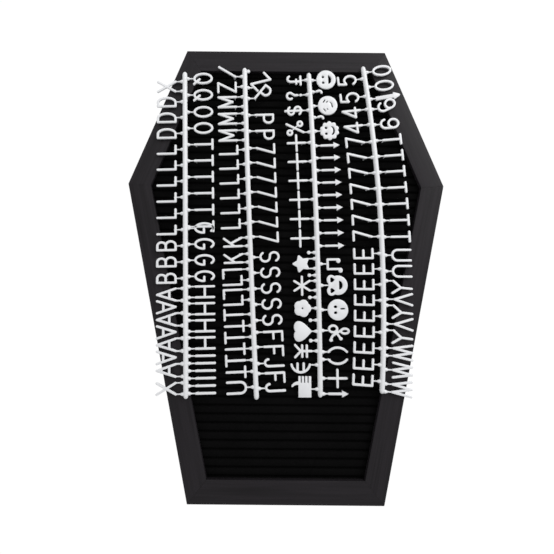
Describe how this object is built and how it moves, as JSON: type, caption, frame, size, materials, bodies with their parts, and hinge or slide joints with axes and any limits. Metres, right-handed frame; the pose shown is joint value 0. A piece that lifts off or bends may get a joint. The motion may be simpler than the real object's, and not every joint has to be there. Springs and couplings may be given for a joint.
{
  "type": "felt letter board",
  "caption": "Coffin-shaped felt letter board in a mitred frame, with grooved black felt and sprues of moulded white letters resting on it.",
  "frame": {"origin": "middle of the board's back, on the plane of the frame's back", "axes": "+X the board's right and +Y its top as it is read, +Z out of its front"},
  "size_m": [0.3, 0.42, 0.0209],
  "materials": {
    "frame_paint": "painted charcoal, satin",
    "black_felt": "short felt nap, matt",
    "raw_board": "raw fibreboard",
    "hardboard": "brown hardboard",
    "zinc_steel": "zinc plated",
    "white_plastic": "moulded, low gloss"
  },
  "bodies": {
    "root": {"frame_rail_top": "frame_paint", "frame_rail_upper_left": "frame_paint", "frame_rail_lower_left": "frame_paint", "frame_rail_bottom": "frame_paint", "frame_rail_lower_right": "frame_paint", "frame_rail_upper_right": "frame_paint", "mitre_nail_1": "zinc_steel", "mitre_nail_2": "zinc_steel", "mitre_nail_3": "zinc_steel", "mitre_nail_4": "zinc_steel", "mitre_nail_5": "zinc_steel", "mitre_nail_6": "zinc_steel", "glazing_point_1": "zinc_steel", "glazing_point_2": "zinc_steel", "glazing_point_3": "zinc_steel", "glazing_point_4": "zinc_steel", "glazing_point_5": "zinc_steel", "glazing_point_6": "zinc_steel", "glazing_point_7": "zinc_steel", "glazing_point_8": "zinc_steel", "glazing_point_9": "zinc_steel", "glazing_point_10": "zinc_steel", "glazing_point_11": "zinc_steel", "glazing_point_12": "zinc_steel", "felt_face": "black_felt", "core_board": "raw_board", "backing_board": "hardboard", "sawtooth_hanger": "zinc_steel", "hanger_screw_left": "zinc_steel", "hanger_screw_right": "zinc_steel", "letter_sprue_1": "white_plastic", "letter_sprue_2": "white_plastic", "letter_sprue_3": "white_plastic", "letter_sprue_4": "white_plastic"}
  },
  "joints": []
}
